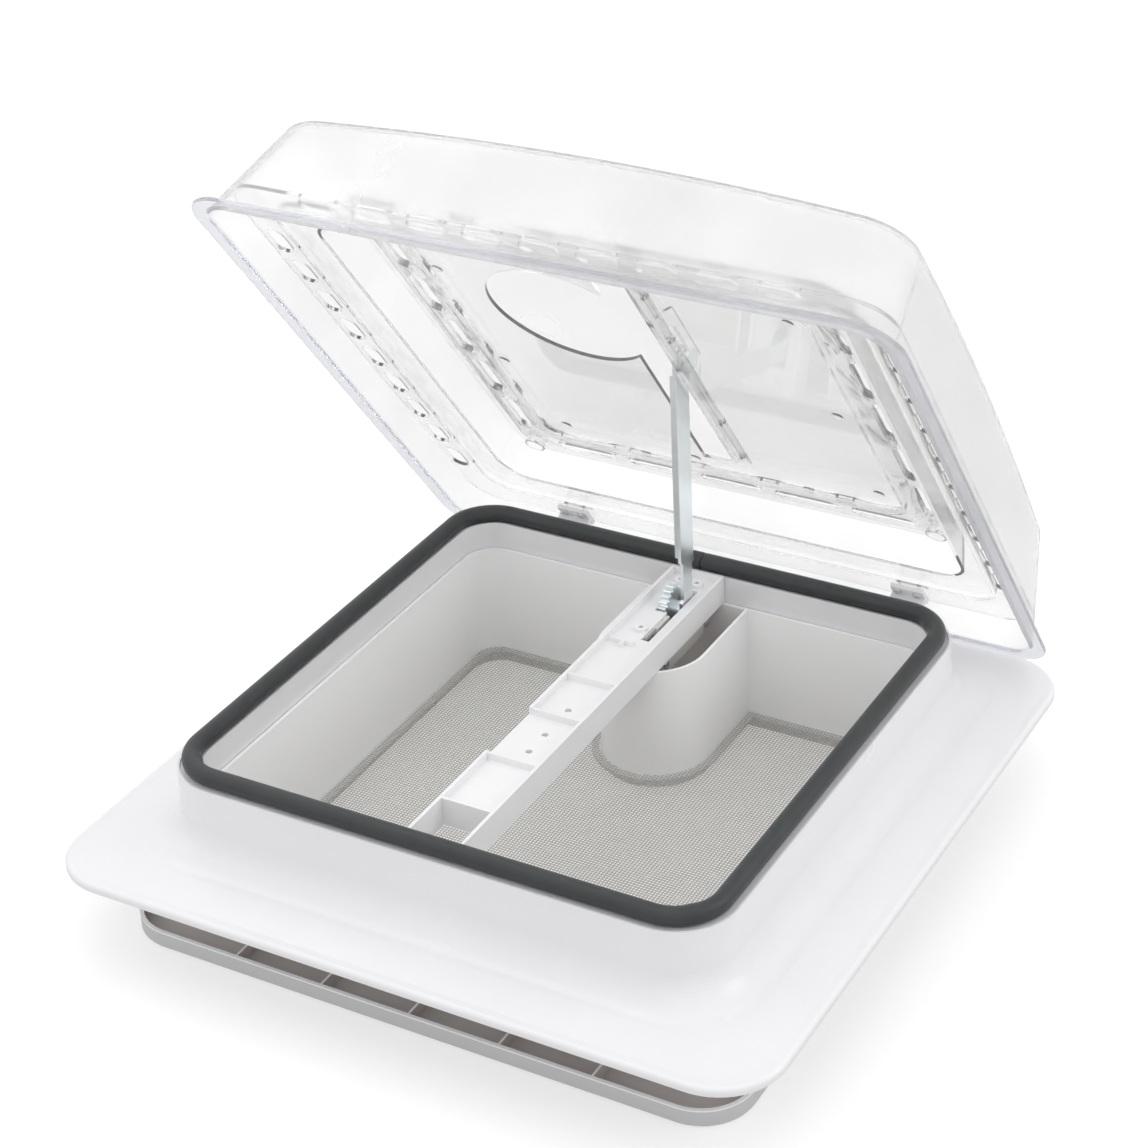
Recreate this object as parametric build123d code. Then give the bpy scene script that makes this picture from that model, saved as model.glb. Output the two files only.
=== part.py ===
from build123d import *
from math import asin, cos, degrees, pi, radians, sin, sqrt
import os

# Opening roof vent for a caravan: flanged frame, clear lid on a rear hinge, and a stay arm driven by a
# crank, worm and toothed sector.  Millimetres, +Z up, origin on the roof plane at the middle of the
# flange.  +Y points to the hinge.  "half" is half the side of a square outline.

# ---- frame and opening -------------------------------------------------------------------------------
opening_half = 172.0          # clear opening inside the trim collar
opening_radius = 20.5         # its corner radius
collar_wall = 2.4
slide_gap = 0.6               # trim collar inside the frame wall
frame_wall = 3.0
rim_margin = 3.6              # rim wider than the seal's bulb
rim_height = 55.0             # seat of the seal above the roof
rim_lip = 1.5                 # upstands that keep the seal in place
rim_lip_width = 1.4
rim_depth = 9.0               # solid part of the rim under the seal
curb_taper = 0.9              # how much wider the curb is at its foot
sweep_radius = 22.0           # concave sweep from curb to flange
sweep_steps = 16
flange_land = 31.5            # flat part of the flange outside the sweep
flange_radius = 42.0
flange_edge = 5.2
flange_rise = 2.8
flange_round = 3.0
spigot_depth = 22.0           # frame wall below the roof plane
cutout_size = 400.0           # square hole in the roof that the frame drops into
fit_gap = 0.3                 # between pieces that sit together

# ---- seal --------------------------------------------------------------------------------------------
seal_diameter = 12.0
seal_sink = 0.1               # how far the bulb stands clear of its seat
seal_stem_width = 3.0
seal_stem_depth = 5.0
seal_margin = 0.5             # bulb from the frame's inner face
closing_gap = 0.5             # closed lid above the seal

# ---- interior trim -----------------------------------------------------------------------------------
collar_top = 37.0
trim_bottom = -56.0
trim_plate = 2.5
trim_width = 42.0             # trim plate outside the opening
trim_rim_height = 12.0
trim_rim_wall = 2.5
trim_radius = 34.0
trim_rib_count = 5
trim_rib_pitch = 62.5
trim_rib_wall = 1.3
trim_rib_height = 9.5
screw_line = 10.0             # trim screws outside the opening
trim_screw_pitch = 92.0
trim_screw_radius = 2.0
trim_screw_bite = 10.0
trim_screw_head = 2.3
trim_head_radius = 4.0
trim_boss_radius = 7.0
trim_boss_height = 6.0
counterbore = 2.8
boss_radius = 4.6

# ---- drive pocket (part of the trim) -------------------------------------------------------------------
pocket_radius = 38.0
pocket_wall = 2.0
pocket_reach = 64.0           # centre of its round end from the back of the opening
pocket_bottom = -54.0
pocket_floor_top = -24.0
shaft_hole_radius = 5.0

# ---- flyscreen ---------------------------------------------------------------------------------------
mesh_level = -44.0
mesh_thickness = 0.5
screen_frame_height = 2.6
screen_frame_width = 6.0
screen_gap = 0.4
clip_depth = 4.0
clip_width = 12.0
clip_height = 2.0
clip_pitch = 100.0

# ---- bridge beam -------------------------------------------------------------------------------------
beam_half_width = 19.5
beam_wall = 2.2
beam_top = 57.5
beam_floor_top = 52.5
beam_floor = 2.0
beam_end_wall = 2.0
beam_end_gap = 0.4
rib_wall = 2.0
front_hatch = 39.0            # open compartment at the front end
mid_bay_start = 95.0          # open-sided bay, from the front of the opening
mid_bay_end = 148.0
rear_rib = 194.0              # cross rib, from the front of the opening
floor_hole_radius = 2.2
floor_holes = [(1.0, 162.0), (1.4, 131.5), (1.7, 111.0)]
beam_screw_x = 10.0
beam_screw_level = 43.0
small_screw_radius = 1.75
small_head_radius = 3.4
small_head_height = 2.3

# ---- hinge -------------------------------------------------------------------------------------------
hinge_standoff = 9.0          # hinge axis behind the rim
hinge_drop = 20.0             # hinge axis below the closed lid's lip
hinge_spacing = 130.0
knuckle_radius = 5.5
knuckle_length = 24.0
lug_length = 8.0
hinge_gap = 0.4
hinge_pin_radius = 2.0
pin_gap = 0.12
open_angle = 52.46

# ---- lid ---------------------------------------------------------------------------------------------
lid_overhang = 42.9           # lip outside the rim
lid_radius = 30.0
lip_thickness = 3.0
lip_width = 8.0
lid_wall = 3.0
wall_lean = 0.2               # inset per mm of height
crown_depth = 97.0            # top of the dome above the lip
crown_radius = 2215.0
crown_fillet = 12.0
wall_radius_low = 24.0
wall_radius_high = 36.0
skin = 2.4                    # wall of the inner frame
ledge_depth = 20.0
ledge_width = 20.0
band_rise = 4.9               # sealing band above the ledge's underside
band_width = 21.0
panel_depth = 50.0            # inner panel above the lip
panel_inset = 6.0             # panel smaller than the clear opening
panel_radius = 20.0
panel_thickness = 2.5
shelf_inset = 36.0            # opening of the inner frame under the panel
shelf_rib = 3.6
outer_slot_count = 9
outer_slot_pitch = 37.9
outer_slot_length = 27.0
outer_slot_width = 13.5
inner_slot_count = 5
inner_slot_pitch = 56.7
inner_slot_length = 46.0
inner_slot_width = 12.0
inner_slot_inset = 12.0       # middle of the slots from the panel's edge
panel_screw_inset = 12.7
cutout_radius = 55.0
cutout_x = -51.0
cutout_reach = 230.5          # round cut-out, from the back of the opening
arm_slot_left = -12.0
arm_slot_right = 11.0
arm_slot_start = 48.5         # from the back of the opening
arm_slot_end = 298.5

# ---- stay arm and drive --------------------------------------------------------------------------------
pivot_reach = 28.0            # arm pivot, from the back of the opening
pivot_level = 43.0
arm_length = 193.0
arm_rest_angle = 90.9
arm_width = 18.0
arm_left = 5.4
arm_thickness = 2.5
arm_flange_depth = 2.2        # stiffening flange folded along the front edge
arm_flange_wall = 1.5
arm_flange_start = 46.0       # from the pivot
arm_flange_end = 182.0
arm_waist_start = 11.0        # narrower neck above the sector
arm_waist_end = 42.0
arm_waist_depth = 2.4
pivot_pin_radius = 3.0
running_gap = 0.15
tooth_module = 1.25
tooth_count = 32
first_tooth = 0               # tooth positions, from straight up
last_tooth = 9
sector_left = -6.0
sector_width = 6.0
hub_radius = 6.0
spacer_radius = 4.3
worm_core_radius = 5.0
mesh_gap = 0.3
worm_top = 46.8
worm_bottom = 30.0
journal_radius = 2.5
shaft_radius = 3.0
bush_wall = 1.2
track_pin_radius = 4.0
track_play = 0.7
pin_head_radius = 7.5
pin_head = 2.4
bracket_left = 11.0
bracket_wall = 2.5
bracket_margin = 28.0
bracket_height = 22.5
rail_height = 7.0
rail_foot = 10.0
foot_thickness = 2.0

# ---- gearbox -----------------------------------------------------------------------------------------
box_left = -13.0
box_right = 9.5
box_wall = 2.0
box_front = 48.0              # from the arm pivot towards the front
box_back = 14.0
box_clearance = 1.15          # sector above the floor of the gearbox
cover_wall = 2.0
lug_radius = 4.0
lug_levels = (26.0, 40.0)
ear_length = 10.0
ear_thickness = 3.0
box_screw_radius = 1.5
box_head_radius = 3.0
box_head_height = 2.0
boss_rise = 2.5               # screw bosses above the beam's floor
boss_radius = 4.5

# ---- crank -------------------------------------------------------------------------------------------
crank_top = -30.0
crank_bottom = -42.0
crank_hub_radius = 7.0
crank_throw = 24.0
crank_link_width = 11.0
crank_link_thickness = 4.0
knob_radius = 7.0
knob_height = 12.6
knob_post_radius = 2.5
knob_cap = 1.5                # closed end of the knob
crank_floor = 1.5             # hub below the link

# ---- places that follow from the sizes above -----------------------------------------------------------
collar_half = opening_half + collar_wall
frame_half = collar_half + slide_gap
frame_radius = opening_radius + collar_wall + slide_gap
rim_width = seal_diameter + rim_margin
seal_setback = seal_diameter / 2 + seal_margin
rim_half = frame_half + rim_width
rim_radius = frame_radius + rim_width
seal_half = frame_half + seal_setback
seal_radius = frame_radius + seal_setback
seal_level = rim_height + seal_diameter / 2 + seal_sink
curb_half = rim_half + curb_taper
sweep_half = curb_half + sweep_radius
flange_half = sweep_half + flange_land
sweep_foot = flange_edge + flange_rise
sweep_level = sweep_foot + sweep_radius
trim_half = opening_half + trim_width
trim_rim_top = trim_bottom + trim_rim_height
screw_half = opening_half + screw_line
pocket_y = opening_half - pocket_reach
hinge_y = rim_half + hinge_standoff
lid_half = rim_half + lid_overhang
lip_level = rim_height + seal_sink + seal_diameter + closing_gap - ledge_depth - band_rise
hinge_level = lip_level - hinge_drop
panel_half = opening_half - panel_inset
shelf_half = opening_half - shelf_inset
inner_slot_line = panel_half - inner_slot_inset
panel_screw_line = panel_half - panel_screw_inset
pivot_y = opening_half - pivot_reach
pin_y = pivot_y + arm_length * cos(radians(arm_rest_angle))
pin_level = pivot_level + arm_length * sin(radians(arm_rest_angle))
pitch_radius = tooth_module * tooth_count / 2
tip_radius = pitch_radius + tooth_module
worm_y = pivot_y - tip_radius - worm_core_radius - mesh_gap
worm_x = sector_left + sector_width / 2
box_bottom = pivot_level - tip_radius - box_clearance - box_wall
hinge_axis = Axis((0, hinge_y, hinge_level), (1, 0, 0))


# ---- helpers -----------------------------------------------------------------------------------------
def square(half, radius, level):
    """Rounded square face at a height."""
    return Pos(0, 0, level) * RectangleRounded(2 * half, 2 * half, radius)


def slab(half, radius, low, high):
    return extrude(square(half, radius, low), high - low)


def frame_ring(outer, outer_radius, inner, inner_radius, low, high):
    return slab(outer, outer_radius, low, high) - slab(inner, inner_radius, low - 1, high + 1)


def block(x0, x1, y0, y1, z0, z1):
    return Pos((x0 + x1) / 2, (y0 + y1) / 2, (z0 + z1) / 2) * Box(x1 - x0, y1 - y0, z1 - z0)


def post(x, y, low, high, radius):
    return Pos(x, y, (low + high) / 2) * Cylinder(radius, high - low)


def along_x(sketch, left, right):
    """Extrude a sketch drawn in (y, z) from one x to another."""
    return extrude(Plane.YZ.offset(left) * sketch, right - left)


def bar_x(y, z, left, right, radius):
    return along_x(Pos(y, z) * Circle(radius), left, right)


def bar_y(x, z, front, back, radius):
    return Pos(x, (front + back) / 2, z) * Rot(90, 0, 0) * Cylinder(radius, back - front)


def four_sides(shape):
    """A shape made for the front side, repeated on all four sides."""
    return [Rot(0, 0, turn) * shape for turn in (0, 90, 180, 270)]


def row(count, pitch):
    return [(i - (count - 1) / 2) * pitch for i in range(count)]


def one(shapes):
    """Fuse a list of overlapping shapes into one solid."""
    return Part() + shapes


def with_lid(shape):
    """Swing a piece drawn on the closed lid to the open rest position."""
    return shape.rotate(hinge_axis, -open_angle)


def lid_slots(line, count, pitch, length, width, low, high, turns):
    """Rows of slots drawn for the front side and turned to the other sides."""
    slot = extrude(Pos(0, 0, low) * SlotOverall(length, width), high - low)
    made = []
    for turn in turns:
        made += [Rot(0, 0, turn) * Pos(x, -line, 0) * slot for x in row(count, pitch)]
    return made


# ---- frame -------------------------------------------------------------------------------------------
def sweep_sections(inset):
    """Outlines of the curb from the flange up, set in by a wall thickness."""
    sections = []
    for i in range(sweep_steps + 1):
        turn = pi / 2 * i / sweep_steps
        half = sweep_half - (sweep_radius + inset) * sin(turn)
        level = sweep_level - (sweep_radius + inset) * cos(turn)
        radius = flange_radius + (rim_radius - flange_radius) * i / sweep_steps - inset * sin(turn)
        sections.append(square(half, radius, level))
    return sections


def trim_screw_spots():
    return [spot for x in row(2, 2 * trim_screw_pitch)
            for spot in ((x, -screw_half), (x, screw_half), (-screw_half, x), (screw_half, x))]


def beam_screw_spots():
    return [(side * beam_screw_x, end) for side in (-1, 1) for end in (-1, 1)]


def make_roof_frame():
    plate = slab(flange_half, flange_radius, 0, flange_edge)
    plate = fillet(plate.edges().group_by(Axis.Z)[-1], flange_round)
    slope = loft([square(flange_half - flange_round, flange_radius - flange_round, flange_edge - 0.5),
                  square(sweep_half, flange_radius, sweep_foot)], ruled=True)
    sweep = loft(sweep_sections(0), ruled=True)
    curb = loft([square(curb_half, rim_radius, sweep_level),
                 square(rim_half, rim_radius, rim_height + rim_lip)], ruled=True)
    spigot = slab(frame_half + frame_wall, frame_radius + frame_wall, -spigot_depth, rim_height)
    body = one([plate, slope, sweep, curb, spigot])
    seat = frame_ring(rim_half - rim_lip_width, rim_radius - rim_lip_width, frame_half + rim_lip_width,
                      frame_radius + rim_lip_width, rim_height, rim_height + rim_lip + 1)
    groove = frame_ring(seal_half + seal_stem_width / 2 + 0.1, seal_radius + 1.6,
                        seal_half - seal_stem_width / 2 - 0.1, seal_radius - 1.6,
                        rim_height - seal_stem_depth - 0.3, rim_height + 1)
    inside = slab(frame_half, frame_radius, -spigot_depth - 1, rim_height + rim_lip + 1)
    # hollow between the outer skin and the spigot wall, open underneath
    hollow_sections = sweep_sections(frame_wall)
    hollow = one([loft(hollow_sections, ruled=True),
                  slab(sweep_half, flange_radius, -1, sweep_foot - frame_wall),
                  loft([square(curb_half - frame_wall, rim_radius - frame_wall, sweep_level),
                        square(rim_half - frame_wall, rim_radius - frame_wall, rim_height - rim_depth)],
                       ruled=True)])
    hollow -= slab(frame_half + frame_wall, frame_radius + frame_wall, -2, rim_height)
    body = body - seat - groove - inside - hollow
    bosses = [post(x, y, -spigot_depth, rim_height - rim_depth + 1, boss_radius)
              for x, y in trim_screw_spots()]
    wall_out = frame_half + frame_wall
    pads = [block(x - 5, x + 5, min(end * (wall_out - 1), end * (wall_out + 5)),
                  max(end * (wall_out - 1), end * (wall_out + 5)), beam_screw_level - 5,
                  rim_height - rim_depth + 1) for x, end in beam_screw_spots()]
    lugs = []
    for side in (-1, 1):
        for shift in (-1, 1):
            middle = side * hinge_spacing + shift * (knuckle_length / 2 + hinge_gap + lug_length / 2)
            left = middle - lug_length / 2
            right = middle + lug_length / 2
            web = block(left, right, rim_half - 1.5, hinge_y, hinge_level - knuckle_radius,
                        hinge_level + knuckle_radius + 4)
            web -= bar_x(hinge_y, hinge_level + 2 * knuckle_radius + 3, left - 1, right + 1,
                         knuckle_radius + 3)
            lugs += [web, bar_x(hinge_y, hinge_level, left, right, knuckle_radius)]
    body = one([body] + bosses + pads + lugs)
    body -= slab(frame_half, frame_radius, -spigot_depth - 1, rim_height + rim_lip + 1)
    for x, y in trim_screw_spots():
        body -= post(x, y, -spigot_depth - 1, -spigot_depth + trim_screw_bite + 2,
                     trim_screw_radius + pin_gap)
    for x, end in beam_screw_spots():
        body -= bar_y(x, beam_screw_level, *sorted((end * (frame_half - 1), end * (frame_half + 8))),
                      small_screw_radius + pin_gap)
    for side in (-1, 1):
        body -= bar_x(hinge_y, hinge_level, side * hinge_spacing - 40, side * hinge_spacing + 40,
                      hinge_pin_radius + pin_gap)
    return body


def make_rim_seal():
    path = square(seal_half, seal_radius, seal_level).wire()
    start = Plane(origin=path @ 0, z_dir=path % 0)
    bulb = sweep(start * Circle(seal_diameter / 2), path=path)
    stem = frame_ring(seal_half + seal_stem_width / 2, seal_radius + 1.5, seal_half - seal_stem_width / 2,
                      seal_radius - 1.5, rim_height - seal_stem_depth, seal_level)
    return one([bulb, stem])


# ---- interior trim -----------------------------------------------------------------------------------
def pocket_outline(inset, low, high):
    """U-shaped pocket plan, straight sides running back past the opening wall."""
    radius = pocket_radius - inset
    return one([post(0, pocket_y, low, high, radius),
                block(-radius, radius, pocket_y, opening_half + collar_wall / 2, low, high)])


def make_interior_trim():
    collar = frame_ring(collar_half, opening_radius + collar_wall, opening_half, opening_radius,
                        trim_bottom, collar_top)
    plate = frame_ring(trim_half, trim_radius, opening_half, opening_radius, trim_bottom,
                       trim_bottom + trim_plate)
    rim = frame_ring(trim_half, trim_radius, trim_half - trim_rim_wall, trim_radius - trim_rim_wall,
                     trim_bottom, trim_rim_top)
    rib_low = trim_bottom + trim_plate - 0.5
    rib = block(-trim_rib_wall / 2, trim_rib_wall / 2, -trim_half + trim_rim_wall / 2,
                -collar_half + collar_wall / 2, rib_low, rib_low + trim_rib_height)
    ribs = []
    for x in row(trim_rib_count, trim_rib_pitch):
        ribs += four_sides(Pos(x, 0, 0) * rib)
    clip_top = mesh_level - screen_frame_height
    clip = block(-clip_width / 2, clip_width / 2, -opening_half - 1, -opening_half + clip_depth,
                 clip_top - clip_height, clip_top)
    clips = []
    for x in row(2, 2 * clip_pitch):
        clips += four_sides(Pos(x, 0, 0) * clip)
    pocket = pocket_outline(0, pocket_bottom, collar_top)
    pocket -= pocket_outline(pocket_wall, pocket_bottom - 1, collar_top + 1)
    floor = pocket_outline(pocket_wall / 2, pocket_floor_top - pocket_wall, pocket_floor_top)
    bosses = [post(x, y, trim_bottom, trim_bottom + trim_boss_height, trim_boss_radius)
              for x, y in trim_screw_spots()]
    bosses = [boss - slab(opening_half + 0.5, opening_radius, trim_bottom - 1, collar_top) for boss in bosses]
    body = one([collar, plate, rim, pocket, floor] + ribs + clips + bosses)
    body -= post(worm_x, worm_y, pocket_floor_top - pocket_wall - 1, pocket_floor_top + 1, shaft_hole_radius)
    for x, y in trim_screw_spots():
        body -= post(x, y, trim_bottom - 1, trim_bottom + trim_boss_height + 1, trim_screw_radius + pin_gap)
        body -= post(x, y, trim_bottom - 1, trim_bottom + counterbore, trim_head_radius + fit_gap)
    edge = body.edges().filter_by_position(Axis.Z, trim_bottom - 0.01, trim_bottom + 0.01)
    outer = [e for e in edge if max(abs(e.center().X), abs(e.center().Y)) > trim_half - trim_radius]
    outer = [e for e in outer if e.length > trim_radius]
    return fillet(outer, 1.6)


def make_trim_screws():
    screws = []
    for x, y in trim_screw_spots():
        seat = trim_bottom + counterbore
        shank = post(x, y, seat - 1, -spigot_depth + trim_screw_bite, trim_screw_radius)
        head = post(x, y, seat - trim_screw_head, seat, trim_head_radius)
        screws.append(one([shank, head]))
    return screws


# ---- flyscreen ---------------------------------------------------------------------------------------
def make_flyscreen_frame():
    outer = opening_half - screen_gap
    low = mesh_level - screen_frame_height
    ring = frame_ring(outer, opening_radius - screen_gap, outer - screen_frame_width,
                      opening_radius - screen_gap - screen_frame_width, low, mesh_level)
    collar = pocket_outline(-screen_gap - screen_frame_width, low, mesh_level)
    collar &= slab(outer, opening_radius - screen_gap, low - 1, mesh_level + 1)
    return one([ring, collar]) - pocket_outline(-screen_gap, low - 1, mesh_level + 1)


def make_flyscreen_mesh():
    outer = opening_half - screen_gap - 1
    sheet = slab(outer, opening_radius - screen_gap - 1, mesh_level, mesh_level + mesh_thickness)
    return sheet - pocket_outline(-screen_gap - 1, mesh_level - 1, mesh_level + 2)


# ---- beam --------------------------------------------------------------------------------------------
def make_bridge_beam():
    end = frame_half - beam_end_gap
    front = -opening_half
    low = collar_top + beam_end_gap
    floor_low = beam_floor_top - beam_floor
    inner = beam_half_width - beam_wall
    body = block(-beam_half_width, beam_half_width, -end, end, low, beam_top)
    body -= block(-inner, inner, -end + beam_end_wall, end - beam_end_wall, low - 1, floor_low)
    body -= block(-inner, inner, -end + beam_end_wall, end - beam_end_wall, beam_floor_top, beam_top + 1)
    body -= block(-inner, inner, -end + beam_end_wall, front + front_hatch, low - 1, beam_top + 1)
    mid_start = front + mid_bay_start
    mid_end = front + mid_bay_end
    body -= block(-beam_half_width - 1, -inner + 0.01, mid_start, mid_end, beam_floor_top, beam_top + 1)
    ribs = [block(-inner - 1, inner + 1, y, y + rib_wall, floor_low, beam_top - 0.4)
            for y in (mid_start - rib_wall, mid_end, front + rear_rib)]
    ribs.append(block(-inner - 1, inner + 1, front + front_hatch, front + front_hatch + rib_wall,
                      low, beam_top - 0.4))
    boss_y = pivot_y - box_front
    ribs += [post(x, y, floor_low, beam_floor_top + boss_rise, boss_radius) for x, y in box_screw_spots()]
    ribs.append(block(-15, 2.5, boss_y - 21, boss_y - 19, floor_low, beam_floor_top + 3))
    ribs.append(block(-6, -4, boss_y - 26, boss_y - 20, floor_low, beam_floor_top + 3))
    body = one([body] + ribs)
    gap = 0.7
    slot_front = pivot_y - 59
    slot_back = pivot_y + arm_width / 2 + 3
    body -= block(arm_left - arm_flange_depth - gap, arm_left + arm_thickness + gap, slot_front, slot_back,
                  floor_low - 1, beam_top + 1)
    body -= block(sector_left - gap, arm_left, pivot_y - tip_radius - 0.3, slot_back, floor_low - 1,
                  beam_top + 1)
    for x, y in floor_holes:
        body -= post(x, front + y, floor_low - 1, beam_floor_top + 1, floor_hole_radius)
    for x, y in box_screw_spots():
        body -= post(x, y, floor_low - 1, beam_top, box_screw_radius + pin_gap)
    for x, end_side in beam_screw_spots():
        body -= bar_y(x, beam_screw_level, *sorted((end_side * (end - 4), end_side * (end + 1))),
                      small_screw_radius + pin_gap)
    return body


def make_beam_screws():
    inner_face = frame_half - beam_end_gap - beam_end_wall
    screws = []
    for x, end in beam_screw_spots():
        shank = bar_y(x, beam_screw_level, *sorted((end * (inner_face - 0.5), end * (frame_half + 6))),
                      small_screw_radius)
        head = bar_y(x, beam_screw_level, *sorted((end * (inner_face - small_head_height), end * inner_face)),
                     small_head_radius)
        screws.append(one([shank, head]))
    return screws


# ---- gearbox -----------------------------------------------------------------------------------------
box_top = beam_floor_top - beam_floor


def box_screw_spots():
    """One screw through the boss in front, two behind."""
    back = pivot_y + box_back + ear_length / 2
    return [(worm_x, pivot_y - box_front), (box_left + 5, back), (box_right - 5, back)]


def box_front_face():
    return worm_y - worm_core_radius - 8


def cover_lugs():
    front = box_front_face() - lug_radius + 1
    back = pivot_y + box_back + lug_radius - 1
    return [(y, z) for y in (front, back) for z in lug_levels]


def make_gearbox_housing():
    front = box_front_face()
    back = pivot_y + box_back
    body = block(box_left, box_right, front, back, box_bottom, box_top)
    lugs = [bar_x(y, z, box_left, box_right, lug_radius) for y, z in cover_lugs()]
    ear_low = box_top - ear_thickness
    boss_y = pivot_y - box_front
    ears = [block(worm_x - 6, worm_x + 6, boss_y - 5, front + 1, ear_low, box_top),
            block(box_left, box_right, back - 1, back + ear_length, ear_low, box_top)]
    body = one([body] + lugs + ears)
    body -= block(box_left + box_wall, box_right + 1, front + box_wall, back - box_wall,
                  box_bottom + box_wall, box_top - ear_thickness)
    body -= block(sector_left - 0.7, box_right + 1, pivot_y - tip_radius - 0.3, back - box_wall,
                  box_bottom + box_wall, box_top + 1)
    body -= block(arm_left - 0.7, box_right + 1, front - 1, back - box_wall, pivot_level - 1, box_top + 1)
    for y, z in cover_lugs():
        body -= bar_x(y, z, box_right - 9, box_right + 1, box_screw_radius + pin_gap)
    for x, y in box_screw_spots():
        body -= post(x, y, ear_low - 1, box_top + 1, box_screw_radius + pin_gap)
    body -= bar_x(pivot_y, pivot_level, box_left + 0.8, 0, pivot_pin_radius + pin_gap)
    bush = journal_radius + running_gap + bush_wall + 0.05
    body -= post(worm_x, worm_y, box_top - ear_thickness - 1, box_top + 1, bush)
    lower = shaft_radius + running_gap + bush_wall + 0.05
    body -= post(worm_x, worm_y, box_bottom - 1, box_bottom + box_wall + 1, lower)
    return body


def make_gearbox_cover():
    front = box_front_face()
    back = pivot_y + box_back
    plate = block(box_right, box_right + cover_wall, front, back, box_bottom, box_top - 0.3)
    lugs = [bar_x(y, z, box_right, box_right + cover_wall, lug_radius) for y, z in cover_lugs()]
    body = one([plate] + lugs)
    for y, z in cover_lugs():
        body -= bar_x(y, z, box_right - 1, box_right + cover_wall + 1, box_screw_radius + pin_gap)
    return body - bar_x(pivot_y, pivot_level, box_right - 1, box_right + cover_wall + 1,
                        pivot_pin_radius + pin_gap)


def make_cover_screws():
    face = box_right + cover_wall
    return [one([bar_x(y, z, box_right - 8, face + 0.5, box_screw_radius),
                 bar_x(y, z, face, face + box_head_height, box_head_radius)]) for y, z in cover_lugs()]


def make_box_screws():
    screws = []
    seat = box_top - ear_thickness
    for x, y in box_screw_spots():
        screws.append(one([post(x, y, seat - 0.5, beam_floor_top + boss_rise - 1.2, box_screw_radius),
                           post(x, y, seat - box_head_height, seat, box_head_radius)]))
    return screws


def make_worm_bushes():
    top = post(worm_x, worm_y, box_top - ear_thickness, box_top, journal_radius + running_gap + bush_wall)
    top -= post(worm_x, worm_y, box_bottom, box_top + 1, journal_radius + running_gap)
    low = post(worm_x, worm_y, box_bottom, box_bottom + box_wall, shaft_radius + running_gap + bush_wall)
    low -= post(worm_x, worm_y, box_bottom - 1, box_top + 1, shaft_radius + running_gap)
    return [top, low]


def make_pivot_pin():
    return bar_x(pivot_y, pivot_level, box_left + 1, box_right + cover_wall, pivot_pin_radius)


def make_pivot_spacers():
    spans = [(box_left + box_wall + running_gap, sector_left - running_gap),
             (arm_left + arm_thickness + running_gap, box_right - running_gap)]
    return [bar_x(pivot_y, pivot_level, a, b, spacer_radius) - bar_x(pivot_y, pivot_level, a - 1, b + 1,
            pivot_pin_radius + pin_gap) for a, b in spans]


# ---- worm, crank and knob ------------------------------------------------------------------------------
def make_drive_worm():
    return one([post(worm_x, worm_y, worm_bottom, worm_top, worm_core_radius),
                post(worm_x, worm_y, worm_top - 1, box_top, journal_radius),
                post(worm_x, worm_y, crank_bottom + 2, worm_bottom + 1, shaft_radius)])


def knob_span():
    """Lowest and highest level of the knob under the crank link."""
    high = crank_bottom + crank_floor - fit_gap
    return high - knob_height, high


def make_crank_handle():
    link_low = crank_bottom + crank_floor
    hub = post(worm_x, worm_y, crank_bottom, crank_top, crank_hub_radius)
    link = Pos(worm_x, worm_y + crank_throw / 2, link_low)
    link *= Rot(0, 0, 90) * extrude(SlotCenterToCenter(crank_throw, crank_link_width), crank_link_thickness)
    knob_y = worm_y + crank_throw
    stud = post(worm_x, knob_y, knob_span()[0] + knob_cap + fit_gap, link_low + 1, knob_post_radius)
    body = one([hub, link, stud])
    body -= post(worm_x, worm_y, crank_bottom + 2 - 0.05, crank_top + 1, shaft_radius + 0.05)
    return body - post(worm_x, worm_y, crank_bottom - 1, crank_bottom + 3, box_screw_radius + pin_gap)


def make_crank_screw():
    return one([post(worm_x, worm_y, crank_bottom - 1.8, crank_bottom, box_head_radius),
                post(worm_x, worm_y, crank_bottom - 1, crank_bottom + 1.9, box_screw_radius)])


def make_crank_knob():
    knob_y = worm_y + crank_throw
    low, high = knob_span()
    knob = fillet(post(worm_x, knob_y, low, high, knob_radius).edges(), 1.6)
    return knob - post(worm_x, knob_y, low + knob_cap, high + 1,
                       knob_post_radius + running_gap)


# ---- stay arm ----------------------------------------------------------------------------------------
def make_sector_gear():
    """Hub and toothed sector in the arm's rest position."""
    step = 2 * pi / tooth_count
    root = pitch_radius - 1.25 * tooth_module
    body = along_x(Pos(pivot_y, pivot_level) * Circle(hub_radius), sector_left, arm_left)
    worm_side = pi
    outline = []
    for i in range(last_tooth, first_tooth - 1, -1):
        middle = worm_side + (1.5 - (last_tooth - i)) * step
        for radius, share in ((root, 0.36), (tip_radius, 0.14), (tip_radius, -0.14), (root, -0.36)):
            angle = middle + share * step
            outline.append((pivot_y + radius * cos(angle), pivot_level + radius * sin(angle)))
    fan = Polyline((pivot_y, pivot_level), *outline, close=True)
    teeth = along_x(make_face(fan), sector_left, sector_left + sector_width)
    body = one([body, teeth])
    return body - bar_x(pivot_y, pivot_level, sector_left - 1, arm_left + 1, pivot_pin_radius + running_gap)


def on_arm(sketch, along, across):
    """Puts a sketch on the arm, a distance along from the pivot and across towards the front."""
    middle = ((pivot_y + pin_y) / 2, (pivot_level + pin_level) / 2)
    return Pos(*middle) * Rot(0, 0, arm_rest_angle) * Pos(along - arm_length / 2, across) * sketch


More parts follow.
